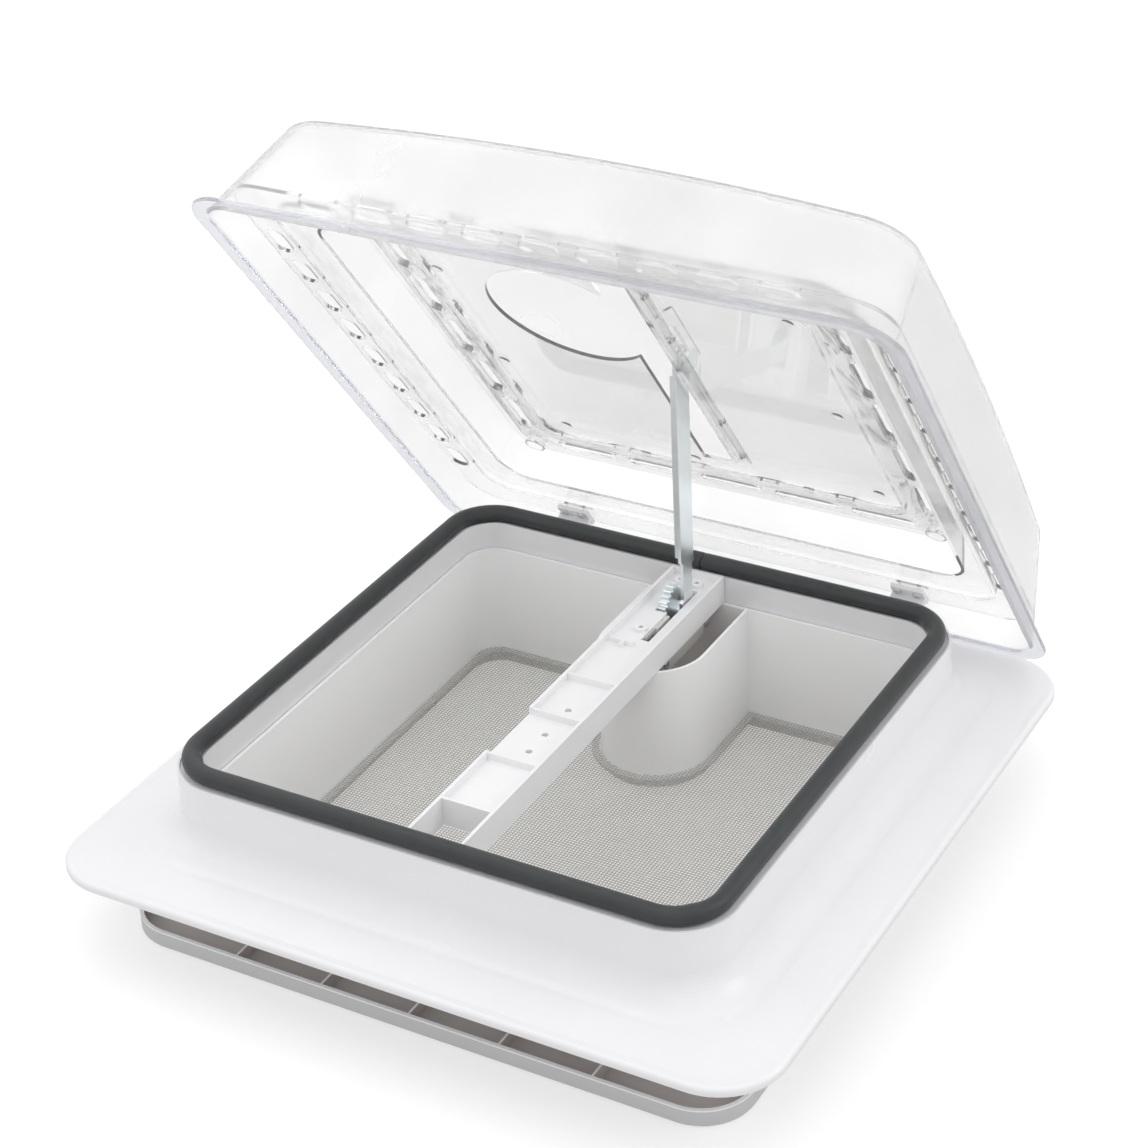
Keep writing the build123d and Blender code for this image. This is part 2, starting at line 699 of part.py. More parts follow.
def make_stay_arm():
    right = arm_left + arm_thickness
    body = along_x(on_arm(SlotCenterToCenter(arm_length, arm_width), arm_length / 2, 0), arm_left, right)
    edge = arm_width / 2
    flange = Rectangle(arm_flange_end - arm_flange_start, arm_flange_wall)
    flange = on_arm(flange, (arm_flange_start + arm_flange_end) / 2, edge - arm_flange_wall / 2)
    body = one([body, along_x(flange, arm_left - arm_flange_depth, arm_left + 0.5)])
    waist = SlotOverall(arm_waist_end - arm_waist_start, 2 * arm_waist_depth)
    middle = (arm_waist_start + arm_waist_end) / 2
    for along, side in ((middle, edge), (middle - 6, -edge)):
        body -= along_x(on_arm(waist, along, side), arm_left - arm_flange_depth - 1, right + 1)
    body -= bar_x(pivot_y, pivot_level, arm_left - 1, arm_left + 5, pivot_pin_radius + running_gap)
    return body - bar_x(pin_y, pin_level, arm_left - 1, arm_left + 5, track_pin_radius + 0.05)


def make_track_pin():
    """Shouldered pin riveted in the arm's top end, with a broad head outside the bracket."""
    right = bracket_left + bracket_wall + track_play
    plate_right = arm_left + arm_thickness
    return one([bar_x(pin_y, pin_level, arm_left - 1, right + 1, track_pin_radius),
                bar_x(pin_y, pin_level, arm_left - 2, arm_left, track_pin_radius + 2),
                bar_x(pin_y, pin_level, plate_right, bracket_left - track_play, track_pin_radius + 2),
                bar_x(pin_y, pin_level, right, right + pin_head, pin_head_radius)])


# ---- lid, drawn closed -------------------------------------------------------------------------------
def wall_half(depth):
    return lid_half - lip_width - wall_lean * depth


def dome_solid(inset, low):
    """Tapered walls under a gently crowned roof."""
    high = crown_depth
    walls = loft([square(wall_half(low) - inset, wall_radius_low - inset, lip_level + low),
                  square(wall_half(high) - inset, wall_radius_high - inset, lip_level + high)], ruled=True)
    ball = Pos(0, 0, lip_level + crown_depth - crown_radius) * Sphere(crown_radius - inset)
    body = walls & ball
    roof = body.faces().sort_by(Axis.Z)[-1]
    return fillet(roof.edges(), crown_fillet - inset)


def make_dome_shell():
    lip = slab(lid_half, lid_radius, lip_level, lip_level + lip_thickness)
    lip = fillet(lip.edges().group_by(Axis.Z)[0] + lip.edges().group_by(Axis.Z)[-1], 1.3)
    return one([dome_solid(0, 0), lip]) - dome_solid(lid_wall, -1)


ledge_half = wall_half(ledge_depth + skin) - lid_wall - fit_gap
riser_half = ledge_half - ledge_width
band_low = ledge_depth + band_rise
cone_foot = riser_half - band_width


def make_lid_inner_frame():
    z = lip_level
    radius = wall_radius_low
    cone_top = panel_half + 6
    parts = [slab(ledge_half, radius, z + ledge_depth, z + ledge_depth + skin),
             slab(riser_half, radius, z + ledge_depth, z + band_low + skin),
             loft([square(cone_foot + skin, radius, z + band_low),
                   square(cone_top, radius, z + panel_depth)], ruled=True)]
    body = one(parts)
    body -= slab(riser_half - skin, radius - skin, z + ledge_depth - 1, z + band_low)
    body -= loft([square(cone_foot, radius, z + band_low - 0.1),
                  square(cone_top - skin, radius, z + panel_depth - skin)], ruled=True)
    body -= slab(shelf_half, radius - 8, z + band_low, z + panel_depth + 1)
    rib = frame_ring(shelf_half + skin, radius - 6, shelf_half, radius - 8, z + panel_depth - skin - shelf_rib,
                     z + panel_depth - skin + 0.5)
    body = one([body, rib])
    for slot in lid_slots(ledge_half - ledge_width / 2 + 0.5, outer_slot_count, outer_slot_pitch,
                          outer_slot_length, outer_slot_width, z + ledge_depth - 1,
                          z + ledge_depth + skin + 1, (0, 90, 270)):
        body -= slot
    for slot in inner_slots():
        body -= slot
    for x, y in panel_screw_spots():
        body -= post(x, y, z + panel_depth - skin - 1, z + panel_depth + 1, small_screw_radius + pin_gap)
    for x, y in hinge_screw_spots():
        body -= post(x, y, z + ledge_depth - 1, z + ledge_depth + skin + 1, box_screw_radius + pin_gap)
    return body


def inner_slots():
    return lid_slots(inner_slot_line, inner_slot_count, inner_slot_pitch, inner_slot_length,
                     inner_slot_width, lip_level + panel_depth - skin - 1,
                     lip_level + panel_depth + panel_thickness + 1, (0, 90, 180, 270))


def panel_screw_spots():
    return [(x, y) for x in (-panel_screw_line, panel_screw_line)
            for y in (-panel_screw_line, panel_screw_line)]


def make_inner_panel():
    low = lip_level + panel_depth
    high = low + panel_thickness
    body = slab(panel_half, panel_radius, low, high)
    for slot in inner_slots():
        body -= slot
    slot_y0 = opening_half - arm_slot_end
    slot_y1 = opening_half - arm_slot_start
    body -= block(arm_slot_left, arm_slot_right, slot_y0, slot_y1, low - 1, high + 1)
    body -= post(cutout_x, opening_half - cutout_reach, low - 1, high + 1, cutout_radius)
    for x, y in panel_screw_spots():
        body -= post(x, y, low - 1, high + 1, small_screw_radius + pin_gap)
    for x, y in bracket_screw_spots():
        body -= post(x, y, low - 1, high + 1, box_screw_radius + pin_gap)
    return body


def make_panel_screws():
    low = lip_level + panel_depth
    return [one([post(x, y, low - skin - 3, low + panel_thickness + 0.5, small_screw_radius),
                 post(x, y, low - skin - small_head_height, low - skin, small_head_radius),
                 post(x, y, low + panel_thickness, low + panel_thickness + 2, small_head_radius)])
            for x, y in panel_screw_spots()]


# ---- track on the lid ----------------------------------------------------------------------------------
def swing(y, z, angle):
    """Turn a point about the hinge, positive closing the lid."""
    dy = y - hinge_y
    dz = z - hinge_level
    return (hinge_y + dy * cos(angle) - dz * sin(angle), hinge_level + dy * sin(angle) + dz * cos(angle))


track_start_y, track_start_z = swing(pin_y, pin_level, radians(open_angle))
arm_closed_angle = 180 - degrees(asin((track_start_z - pivot_level) / arm_length))
arm_swing = arm_closed_angle - arm_rest_angle
arm_ratio = arm_swing / open_angle
worm_ratio = arm_ratio * tooth_count


def track_point(share):
    """Where the arm's pin lies on the lid at a share of the way from open to closed."""
    angle = radians(arm_rest_angle + share * arm_swing)
    y = pivot_y + arm_length * cos(angle)
    z = pivot_level + arm_length * sin(angle)
    return swing(y, z, radians(open_angle * (1 - share)))


track_end_y = track_point(1)[0]
track_levels = [track_point(i / 8)[1] for i in range(9)]
track_level = (min(track_levels) + max(track_levels)) / 2
track_height = max(track_levels) - min(track_levels) + 2 * track_pin_radius + 2 * fit_gap


def bracket_screw_spots():
    x = bracket_left + bracket_wall + rail_foot / 2 + 1.5
    front = opening_half - arm_slot_end
    back = opening_half - arm_slot_start
    return [(x, front + (back - front) * share) for share in (0.08, 0.3, 0.75, 0.95)]


def make_track_bracket():
    low = lip_level + panel_depth + panel_thickness
    front = opening_half - arm_slot_end
    back = opening_half - arm_slot_start
    right = bracket_left + bracket_wall
    rail = block(bracket_left, right, front, back, low, low + rail_height)
    foot = block(right - 0.5, right + rail_foot, front, back, low, low + foot_thickness)
    cheek = block(bracket_left, right, track_end_y - bracket_margin, track_start_y + bracket_margin,
                  low, low + bracket_height)
    cheek = chamfer(cheek.edges().filter_by(Axis.X).group_by(Axis.Z)[-1], bracket_height * 0.6)
    length = track_start_y - track_end_y + track_height + 1
    middle = (track_start_y + track_end_y) / 2
    slot = along_x(Pos(middle, track_level) * SlotOverall(length, track_height), bracket_left - 1, right + 1)
    body = one([rail, foot, cheek]) - slot
    for x, y in bracket_screw_spots():
        body -= post(x, y, low - 1, low + foot_thickness + 1, box_screw_radius + pin_gap)
    return body


def make_bracket_screws():
    low = lip_level + panel_depth
    seat = low + panel_thickness + foot_thickness
    return [one([post(x, y, low - 1, seat + 0.5, box_screw_radius),
                 post(x, y, seat, seat + 1.6, 2.6)]) for x, y in bracket_screw_spots()]


# ---- hinge arms on the lid -----------------------------------------------------------------------------
hinge_web_front = hinge_y + 6.5
hinge_web_back = hinge_web_front + 5


def hinge_screw_spots():
    y = hinge_web_front - box_head_radius - 0.8
    return [(side * hinge_spacing + shift, y) for side in (-1, 1) for shift in (-7.0, 7.0)]


def make_hinge_arms():
    arms = []
    top = lip_level + ledge_depth
    for side in (-1, 1):
        left = side * hinge_spacing - knuckle_length / 2
        right = left + knuckle_length
        flange = block(left, right, riser_half + 1, ledge_half - 2, top - 3, top)
        web = block(left, right, hinge_web_front, hinge_web_back, hinge_level - 3, top - 1)
        foot = block(left, right, hinge_y, hinge_web_back, hinge_level - 3, hinge_level + 5)
        knuckle = bar_x(hinge_y, hinge_level, left, right, knuckle_radius)
        arm = one([flange, web, foot, knuckle])
        arm -= bar_x(hinge_y, hinge_level, left - 1, right + 1, hinge_pin_radius + running_gap + 0.05)
        for x, y in hinge_screw_spots():
            arm -= post(x, y, top - 4, top + 1, box_screw_radius + pin_gap)
        arms.append(arm)
    return arms


def make_hinge_screws():
    top = lip_level + ledge_depth
    return [one([post(x, y, top - 3.5, top + skin + 1, box_screw_radius),
                 post(x, y, top - 5, top - 3, box_head_radius)]) for x, y in hinge_screw_spots()]


def make_hinge_pins():
    reach = knuckle_length / 2 + hinge_gap + lug_length
    pins = []
    for side in (-1, 1):
        middle = side * hinge_spacing
        pins.append(one([bar_x(hinge_y, hinge_level, middle - reach, middle + reach, hinge_pin_radius),
                         bar_x(hinge_y, hinge_level, middle + reach, middle + reach + 1.2,
                               hinge_pin_radius + 1.2)]))
    return pins


# ---- write the nodes -----------------------------------------------------------------------------------
fixed_nodes = {
    "roof_frame": make_roof_frame,
    "rim_seal": make_rim_seal,
    "interior_trim": make_interior_trim,
    "trim_screws": make_trim_screws,
    "flyscreen_frame": make_flyscreen_frame,
    "flyscreen_mesh": make_flyscreen_mesh,
    "bridge_beam": make_bridge_beam,
    "beam_screws": make_beam_screws,
    "gearbox_housing": make_gearbox_housing,
    "gearbox_cover": make_gearbox_cover,
    "gearbox_cover_screws": make_cover_screws,
    "gearbox_mount_screws": make_box_screws,
    "worm_bushes": make_worm_bushes,
    "pivot_pin": make_pivot_pin,
    "pivot_spacers": make_pivot_spacers,
    "hinge_pins": make_hinge_pins,
    "drive_worm": make_drive_worm,
    "crank_handle": make_crank_handle,
    "crank_screw": make_crank_screw,
    "crank_knob": make_crank_knob,
    "sector_gear": make_sector_gear,
    "stay_arm": make_stay_arm,
    "track_pin": make_track_pin,
}
lid_nodes = {
    "dome_shell": make_dome_shell,
    "lid_inner_frame": make_lid_inner_frame,
    "inner_panel": make_inner_panel,
    "panel_screws": make_panel_screws,
    "track_bracket": make_track_bracket,
    "bracket_screws": make_bracket_screws,
    "hinge_arms": make_hinge_arms,
    "hinge_arm_screws": make_hinge_screws,
}


def main():
    os.makedirs("parts", exist_ok=True)
    for name, make in {**fixed_nodes, **lid_nodes}.items():
        shape = make()
        if isinstance(shape, list):
            shape = Compound(children=shape)
        if name in lid_nodes:
            shape = with_lid(shape)
        export_step(shape, f"parts/{name}.step")
        print(name, round(shape.volume, 1))
    print("hinge", round(hinge_y, 3), hinge_level, "arm pivot", pivot_y, pivot_level)
    print("arm swing", round(arm_swing, 4), "arm ratio", round(arm_ratio, 6), "worm ratio",
          round(worm_ratio, 5), "worm at", worm_x, round(worm_y, 3))
    print("pin on lid", round(track_start_y, 2), "to", round(track_end_y, 2), "level",
          round(track_level, 2), "slot", round(track_height, 2))


main()
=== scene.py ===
from math import pi, sin, cos, radians

import bpy
from mathutils import Matrix, Vector


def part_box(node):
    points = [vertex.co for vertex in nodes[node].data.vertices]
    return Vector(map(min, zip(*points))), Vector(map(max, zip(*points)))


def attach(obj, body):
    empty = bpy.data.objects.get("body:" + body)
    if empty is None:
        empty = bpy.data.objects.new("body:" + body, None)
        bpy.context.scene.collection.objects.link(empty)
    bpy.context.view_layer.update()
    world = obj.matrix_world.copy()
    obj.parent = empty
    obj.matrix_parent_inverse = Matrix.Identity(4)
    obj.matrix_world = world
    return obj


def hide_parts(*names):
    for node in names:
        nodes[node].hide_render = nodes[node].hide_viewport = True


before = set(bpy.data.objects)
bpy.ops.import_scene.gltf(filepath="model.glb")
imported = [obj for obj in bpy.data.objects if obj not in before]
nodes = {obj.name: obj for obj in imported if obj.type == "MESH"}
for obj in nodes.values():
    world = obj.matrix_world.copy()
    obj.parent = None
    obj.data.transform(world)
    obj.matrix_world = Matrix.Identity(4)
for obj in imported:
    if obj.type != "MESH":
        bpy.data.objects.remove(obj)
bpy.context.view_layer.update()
mm = 0.001
print("frame loaded:", len(nodes), "nodes")

# the lid is drawn closed and then swung open about the hinge line
hinge = {"y": 199.6 * mm, "z": 22.7 * mm, "open": radians(52.46), "lipLevel": 42.7 * mm}


camera = {"place": (0.7393, -1.2533, 0.9964), "azimuth": radians(-30.43), "elevation": radians(-30.28),
          "roll": radians(-2.56), "lens": 85.53, "sensor": 36}


def aimCamera():
    az, el, roll = camera["azimuth"], camera["elevation"], camera["roll"]
    forward = Vector((sin(az) * cos(el), cos(az) * cos(el), sin(el)))
    right = forward.cross(Vector((0, 0, 1))).normalized()
    up = right.cross(forward)
    turnedRight = cos(roll) * right + sin(roll) * up
    turnedUp = -sin(roll) * right + cos(roll) * up
    data = bpy.data.cameras.new("studioCamera")
    data.lens, data.sensor_width = camera["lens"], camera["sensor"]
    data.clip_end = 50
    cam = bpy.data.objects.new("studioCamera", data)
    bpy.context.scene.collection.objects.link(cam)
    place = Matrix((turnedRight, turnedUp, -forward)).transposed().to_4x4()
    place.translation = Vector(camera["place"])
    cam.matrix_world = place
    bpy.context.scene.camera = cam


aimCamera()


def deselectAll():
    if bpy.context.object and bpy.context.object.mode != "OBJECT":
        bpy.ops.object.mode_set(mode="OBJECT")
    bpy.ops.object.select_all(action="DESELECT")


def pick(*pieces):
    deselectAll()
    for piece in pieces:
        piece.select_set(True)
    bpy.context.view_layer.objects.active = pieces[0]


def editMesh(piece, how="FACE"):
    pick(piece)
    bpy.ops.object.mode_set(mode="EDIT")
    bpy.ops.mesh.select_mode(type=how)
    bpy.ops.mesh.select_all(action="DESELECT")


def selectWhere(piece, test, parts="polygons"):  # parts is vertices, edges or polygons
    bpy.ops.object.mode_set(mode="OBJECT")
    mesh = piece.data
    for items in (mesh.vertices, mesh.edges, mesh.polygons):
        for item in items:
            item.select = False
    for item in getattr(mesh, parts):
        item.select = test(item)
    bpy.ops.object.mode_set(mode="EDIT")


def endEdit():
    bpy.ops.object.mode_set(mode="OBJECT")


def settle(piece):  # modifiers applied, and the place moved into the mesh
    pick(piece)
    for modifier in list(piece.modifiers):
        bpy.ops.object.modifier_apply(modifier=modifier.name)
    bpy.ops.object.transform_apply(location=True, rotation=True, scale=True)


def addModifier(piece, kind, **values):
    modifier = piece.modifiers.new(kind.lower(), kind)
    for key, value in values.items():
        setattr(modifier, key, value)
    return modifier


def joinAll(pieces, name):
    pick(*pieces)
    if len(pieces) > 1:
        bpy.ops.object.join()
    piece = bpy.context.object
    piece.name = piece.data.name = name
    return piece


def copyAt(piece, matrix):  # a copy with its own mesh, moved as the matrix says
    other = bpy.data.objects.new(piece.name + "Copy", piece.data.copy())
    bpy.context.scene.collection.objects.link(other)
    other.data.transform(matrix)
    if matrix.determinant() < 0:
        other.data.flip_normals()
    return other


def copyNode(nodeName, name):  # a merged copy of a frame node's mesh
    piece = bpy.data.objects.new(name, nodes[nodeName].data.copy())
    bpy.context.scene.collection.objects.link(piece)
    piece.data.materials.clear()
    editMesh(piece, "VERT")
    bpy.ops.mesh.select_all(action="SELECT")
    bpy.ops.mesh.remove_doubles(threshold=0.00001)
    endEdit()
    bpy.ops.mesh.customdata_custom_splitnormals_clear()
    return piece


def smooth(piece, angle=32):
    pick(piece)
    bpy.ops.object.shade_smooth_by_angle(angle=radians(angle))


def swingOpen(piece):  # from the closed lid to the open one
    about = Vector((0, hinge["y"], hinge["z"]))
    turn = Matrix.Translation(about) @ Matrix.Rotation(-hinge["open"], 4, "X") @ Matrix.Translation(-about)
    piece.data.transform(turn)


def hand(piece, body, slotName, material, *replaced):  # gives the piece its material, hangs it under its body and hides the frame nodes it replaces
    piece.data.materials.clear()
    piece.data.materials.append(material)
    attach(piece, body)
    if replaced:
        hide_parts(*replaced)
    return piece


def colour(code):
    channels = [int(code[i:i + 2], 16) / 255 for i in (1, 3, 5)]
    linear = [c / 12.92 if c <= 0.04045 else ((c + 0.055) / 1.055) ** 2.4 for c in channels]
    return (*linear, 1.0)


def addNode(tree, kind, settings=None, links=None):
    node = tree.nodes.new(kind)
    for key, value in (settings or {}).items():
        if isinstance(key, int) or key in node.inputs:
            node.inputs[key].default_value = value
        else:
            setattr(node, key, value)
    for key, source in (links or {}).items():
        tree.links.new(source, node.inputs[key])
    return node


def startMaterial(name):
    material = bpy.data.materials.new(name)
    material.use_nodes = True
    tree = material.node_tree
    tree.nodes.clear()
    place = addNode(tree, "ShaderNodeTexCoord").outputs["Object"]
    return material, tree, place


def finishMaterial(tree, shader):
    addNode(tree, "ShaderNodeOutputMaterial", links={"Surface": shader})


def mouldedPlastic(name, base, pale, rough, grain=0.9, relief=0.03, coat=0.0, shade=None):
    # an injection moulded plastic: faint flow clouds, a fine mould texture, uneven sheen
    material, tree, place = startMaterial(name)
    clouds = addNode(tree, "ShaderNodeTexNoise", {"Scale": 1 / (55 * mm), "Detail": 3.0, "Roughness": 0.55},
                     {"Vector": place})
    tone = addNode(tree, "ShaderNodeMix", {"data_type": "RGBA", 6: colour(base), 7: colour(pale)},
                   {0: clouds.outputs[0]})
    surface = tone.outputs[2]
    if shade:
        surface = shade(tree, place, surface)
    skin = addNode(tree, "ShaderNodeTexNoise", {"Scale": 1 / (grain * mm), "Detail": 2.0}, {"Vector": place})
    sheen = addNode(tree, "ShaderNodeMapRange", {"To Min": rough - 0.05, "To Max": rough + 0.07},
                    {"Value": clouds.outputs[0]})
    bump = addNode(tree, "ShaderNodeBump", {"Strength": relief * 6, "Distance": relief * mm},
                   {"Height": skin.outputs[0]})
    shader = addNode(tree, "ShaderNodeBsdfPrincipled",
                     {"IOR": 1.5, "Coat Weight": coat, "Coat Roughness": 0.12},
                     {"Base Color": surface, "Roughness": sheen.outputs[0], "Normal": bump.outputs[0]})
    finishMaterial(tree, shader.outputs[0])
    return material


tray = {"outer": 180 * mm, "outerReach": 32.4 * mm, "inner": 151.5 * mm, "innerReach": 22.2 * mm,
        "top": -44.8 * mm, "bottom": -55.0 * mm, "pocketY": 108 * mm, "pocketReach": 37.0 * mm,
        "pocketTop": 36.2 * mm, "soft": 0.4 * mm}


def troughShade(tree, place, surface):
    # painted shade: the ceiling tray's inside and the drive pocket's inside are painted a darker, warmer grey,
    # and the trim's outer rim below the tray top a greyer white
    axes = addNode(tree, "ShaderNodeSeparateXYZ", links={0: place})
    x, y, z = axes.outputs

    def maths(operation, first, second):
        links = {0: first} if isinstance(second, float) else {0: first, 1: second}
        settings = {"operation": operation}
        if isinstance(second, float):
            settings[1] = second
        return addNode(tree, "ShaderNodeMath", settings, links).outputs[0]

    def ramp(value, start, end):
        limits = {"From Min": start, "From Max": end}
        return addNode(tree, "ShaderNodeMapRange", limits, {0: value}).outputs[0]

    def reach(corner):  # distance from a square of that half width, so it follows rounded corners
        sides = [maths("MAXIMUM", maths("SUBTRACT", maths("ABSOLUTE", axis, 0.0), corner), 0.0)
                 for axis in (x, y)]
        across = addNode(tree, "ShaderNodeCombineXYZ", links={0: sides[0], 1: sides[1]})
        return addNode(tree, "ShaderNodeVectorMath", {"operation": "LENGTH"},
                       {0: across.outputs[0]}).outputs["Value"]

    soft = tray["soft"]
    within = ramp(reach(tray["outer"]), tray["outerReach"] + soft, tray["outerReach"])
    beyond = ramp(reach(tray["inner"]), tray["innerReach"], tray["innerReach"] + soft)
    below = ramp(z, tray["top"], tray["top"] - soft)
    above = ramp(z, tray["bottom"] - soft, tray["bottom"])
    troughShadeMask = maths("MULTIPLY", maths("MULTIPLY", within, beyond), maths("MULTIPLY", below, above))
    ahead = maths("MINIMUM", maths("SUBTRACT", y, tray["pocketY"]), 0.0)
    fromPocket = addNode(tree, "ShaderNodeCombineXYZ", links={0: x, 1: ahead})
    pocketReach = addNode(tree, "ShaderNodeVectorMath", {"operation": "LENGTH"},
                          {0: fromPocket.outputs[0]}).outputs["Value"]
    pocketShadeMask = maths("MULTIPLY", ramp(pocketReach, tray["pocketReach"] + soft, tray["pocketReach"] - soft),
                   maths("MULTIPLY", ramp(z, tray["pocketTop"], tray["pocketTop"] - soft),
                         ramp(z, tray["top"], tray["top"] + soft)))
    # painted shade: rim masks the trim's outer face below the tray top; the loop paints the three shade colours
    rim = maths("SUBTRACT", below, within)
    for code, zone in (("#C3BCB8", troughShadeMask), ("#F0EDEB", pocketShadeMask), ("#CBCBCC", rim)):
        surface = addNode(tree, "ShaderNodeMix", {"data_type": "RGBA", 7: colour(code)},
                          {0: zone, 6: surface}).outputs[2]
    return surface


# ASA, moulded with a gloss face: cool white with long soft highlights
glossAsa = mouldedPlastic("glossWhiteAsa", "#E4E4E6", "#E9E9EB", 0.24, grain=1.4, relief=0.015, coat=0.25)
# ABS, satin moulded: the inside walls and the beam, a little greyer, with painted shade in the tray, the drive
# pocket and the outer rim
satinAbs = mouldedPlastic("satinWhiteAbs", "#F7F7F7", "#FAFAFA", 0.42, grain=0.8, relief=0.03,
                          shade=troughShade)
# ABS, satin moulded a little smoother: the beam, so its floor reads brighter than its sides
beamAbs = mouldedPlastic("satinBeamAbs", "#EBEBEC", "#F1F1F2", 0.38, grain=0.8, relief=0.025)
# acetal drive parts: waxy, slightly warm white
acetal = mouldedPlastic("mouldedAcetal", "#DAD9D5", "#E3E2DE", 0.46, grain=0.7, relief=0.02)
# polypropylene crank and knob: grey, spark-eroded texture
crankPp = mouldedPlastic("texturedGreyPolypropylene", "#C9CACB", "#D3D4D5", 0.5, grain=0.6, relief=0.05)


def spongeRubber():
    # EPDM sponge, extruded: nearly black, matt skin with tiny open pores and a broad soft sheen
    material, tree, place = startMaterial("epdmSponge")
    blotch = addNode(tree, "ShaderNodeTexNoise", {"Scale": 1 / (18 * mm), "Detail": 4.0}, {"Vector": place})
    tone = addNode(tree, "ShaderNodeMix", {"data_type": "RGBA", 6: colour("#26292A"), 7: colour("#35393A")},
                   {0: blotch.outputs[0]})
    pores = addNode(tree, "ShaderNodeTexVoronoi", {"Scale": 1 / (0.9 * mm)}, {"Vector": place})
    skin = addNode(tree, "ShaderNodeMapRange", {"From Max": 0.35}, {"Value": pores.outputs["Distance"]})
    bump = addNode(tree, "ShaderNodeBump", {"Strength": 0.25, "Distance": 0.05 * mm},
                   {"Height": skin.outputs[0]})
    sheen = addNode(tree, "ShaderNodeMapRange", {"To Min": 0.38, "To Max": 0.52}, {"Value": blotch.outputs[0]})
    shader = addNode(tree, "ShaderNodeBsdfPrincipled",
                     {"IOR": 1.5, "Sheen Weight": 0.08, "Sheen Roughness": 0.4},
                     {"Base Color": tone.outputs[2], "Roughness": sheen.outputs[0], "Normal": bump.outputs[0]})
    finishMaterial(tree, shader.outputs[0])
    return material


def heightOnLid(tree, place):  # height above the rim plane in the closed lid, whichever way the lid is turned
    away = Vector((0, sin(hinge["open"]), cos(hinge["open"])))
    about = Vector((0, hinge["y"], hinge["z"]))
    along = addNode(tree, "ShaderNodeVectorMath", {"operation": "DOT_PRODUCT", 1: away}, {0: place})
    return addNode(tree, "ShaderNodeMath", {"operation": "ADD", 1: hinge["z"] - about.dot(away)},
                   {0: along.outputs["Value"]}).outputs[0]


def clearSheet(name, tint, rough, wave, clear, bend, lip=None):
    # clear cast or moulded acrylic: water clear with a faint grey milkiness and slow ripples in its faces
    material, tree, place = startMaterial(name)
    ripple = addNode(tree, "ShaderNodeTexNoise", {"Scale": 1 / (38 * mm), "Detail": 1.0}, {"Vector": place})
    haze = addNode(tree, "ShaderNodeTexNoise", {"Scale": 1 / (90 * mm), "Detail": 2.0}, {"Vector": place})
    tone = addNode(tree, "ShaderNodeMix", {"data_type": "RGBA", 6: colour(tint), 7: colour("#FEFEFE")},
                   {0: haze.outputs[0]})
    bump = addNode(tree, "ShaderNodeBump", {"Strength": 0.12, "Distance": wave * mm},
                   {"Height": ripple.outputs[0]})
    polish = addNode(tree, "ShaderNodeMapRange", {"To Min": rough * 0.6, "To Max": rough * 1.4},
                     {"Value": haze.outputs[0]})
    shader = addNode(tree, "ShaderNodeBsdfPrincipled", {"IOR": bend, "Transmission Weight": clear},
                     {"Base Color": tone.outputs[2], "Roughness": polish.outputs[0], "Normal": bump.outputs[0]})
    if lip:  # painted light: the turned edge holds more light, so a pale cool band is painted on it
        edge = addNode(tree, "ShaderNodeMapRange", {"From Min": hinge["lipLevel"] + 3.6 * mm,
                                                    "From Max": hinge["lipLevel"] + 2.6 * mm},
                       {"Value": heightOnLid(tree, place)}).outputs[0]
        band = addNode(tree, "ShaderNodeMix", {"data_type": "RGBA", 7: colour(lip)},
                       {0: edge, 6: tone.outputs[2]})
        tree.links.new(band.outputs[2], shader.inputs["Base Color"])
    through = addNode(tree, "ShaderNodeBsdfTransparent", {"Color": colour("#FDFDFD")})
    rays = addNode(tree, "ShaderNodeLightPath")
    both = addNode(tree, "ShaderNodeMixShader", links={0: rays.outputs["Is Shadow Ray"], 1: shader.outputs[0],
                                                       2: through.outputs[0]})
    finishMaterial(tree, both.outputs[0])
    return material


def platedSteel(name, base, pale, rough, streak):
    # rolled steel with a bright zinc plating: cool blue grey, fine rolling lines and cloudy patches
    material, tree, place = startMaterial(name)
    run = addNode(tree, "ShaderNodeMapping", {"Scale": streak}, {"Vector": place})
    lines = addNode(tree, "ShaderNodeTexNoise", {"Scale": 1 / (1.1 * mm), "Detail": 3.0},
                    {"Vector": run.outputs[0]})
    patches = addNode(tree, "ShaderNodeTexNoise", {"Scale": 1 / (14 * mm), "Detail": 3.0}, {"Vector": place})
    tone = addNode(tree, "ShaderNodeMix", {"data_type": "RGBA", 6: colour(base), 7: colour(pale)},
                   {0: patches.outputs[0]})
    both = addNode(tree, "ShaderNodeMath", {"operation": "ADD"}, {0: lines.outputs[0], 1: patches.outputs[0]})
    sheen = addNode(tree, "ShaderNodeMapRange",
                    {"From Max": 2.0, "To Min": rough - 0.1, "To Max": rough + 0.14},
                    {"Value": both.outputs[0]})
    bump = addNode(tree, "ShaderNodeBump", {"Strength": 0.2, "Distance": 0.02 * mm},
                   {"Height": lines.outputs[0]})
    shader = addNode(tree, "ShaderNodeBsdfPrincipled", {"Metallic": 1.0},
                     {"Base Color": tone.outputs[2], "Roughness": sheen.outputs[0], "Normal": bump.outputs[0]})
    finishMaterial(tree, shader.outputs[0])
    return material


